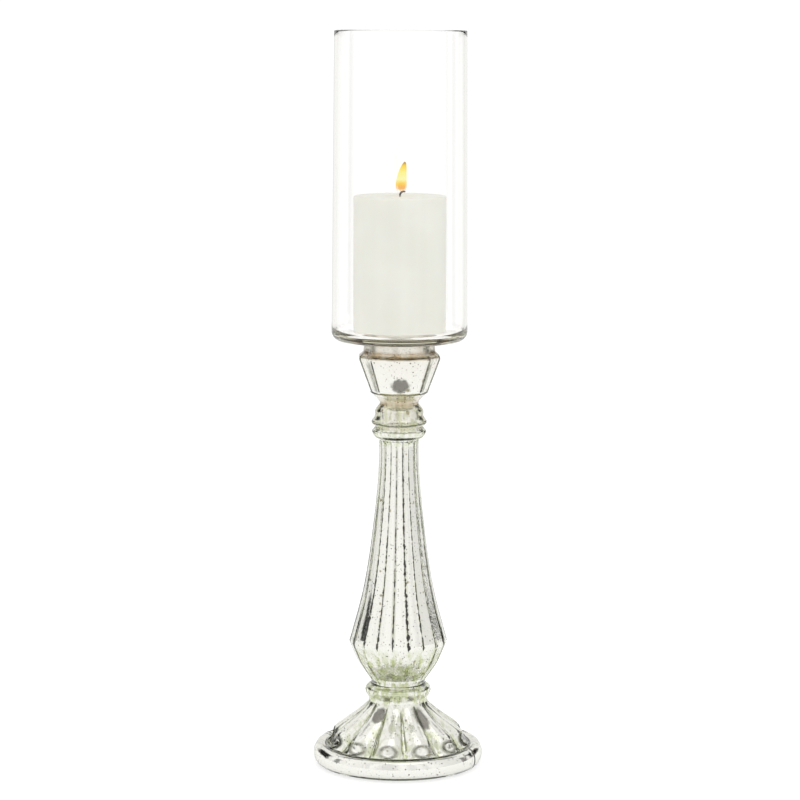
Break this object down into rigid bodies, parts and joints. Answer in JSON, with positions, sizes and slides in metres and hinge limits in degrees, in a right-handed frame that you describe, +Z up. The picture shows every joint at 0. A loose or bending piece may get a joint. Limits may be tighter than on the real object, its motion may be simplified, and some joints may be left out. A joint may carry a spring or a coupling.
{
  "type": "hurricane candle lantern",
  "caption": "Tall silvered-glass pedestal with fluted baluster and petalled foot, carrying a clear cylindrical glass hurricane with a pillar candle.",
  "frame": {"origin": "on the ground plane under the pads, on the lantern's axis", "axes": "+Z up along the lantern's axis; -Y towards the front; +X to the right, the way the wick curls"},
  "size_m": [0.1416, 0.1416, 0.6096],
  "materials": {
    "pedestal_glass": "clear moulded glass with a faint green tint",
    "silver": "aged speckled silvering",
    "plug": "matte translucent silicone",
    "adhesive": "clear amber cured adhesive",
    "clear_glass": "clear polished glass",
    "wax": "warm ivory wax, satin",
    "wick": "braided cotton, charred at the tip",
    "tinplate": "bright tinplate",
    "bumper": "soft clear polyurethane"
  },
  "bodies": {
    "lantern": {"pedestal_glass": "pedestal_glass", "silver_lining": "silver", "mouth_plug": "plug", "bond_ring": "adhesive", "hurricane_glass": "clear_glass", "foot_pad_1": "bumper", "foot_pad_2": "bumper", "foot_pad_3": "bumper", "foot_pad_4": "bumper"},
    "candle": {"candle_wax": "wax", "wick": "wick", "wick_tab": "tinplate"}
  },
  "joints": [
    {"name": "candle_lift", "type": "slide", "parent": "lantern", "child": "candle", "axis": [0, 0, 1], "range_m": [0, 0.27]}
  ]
}
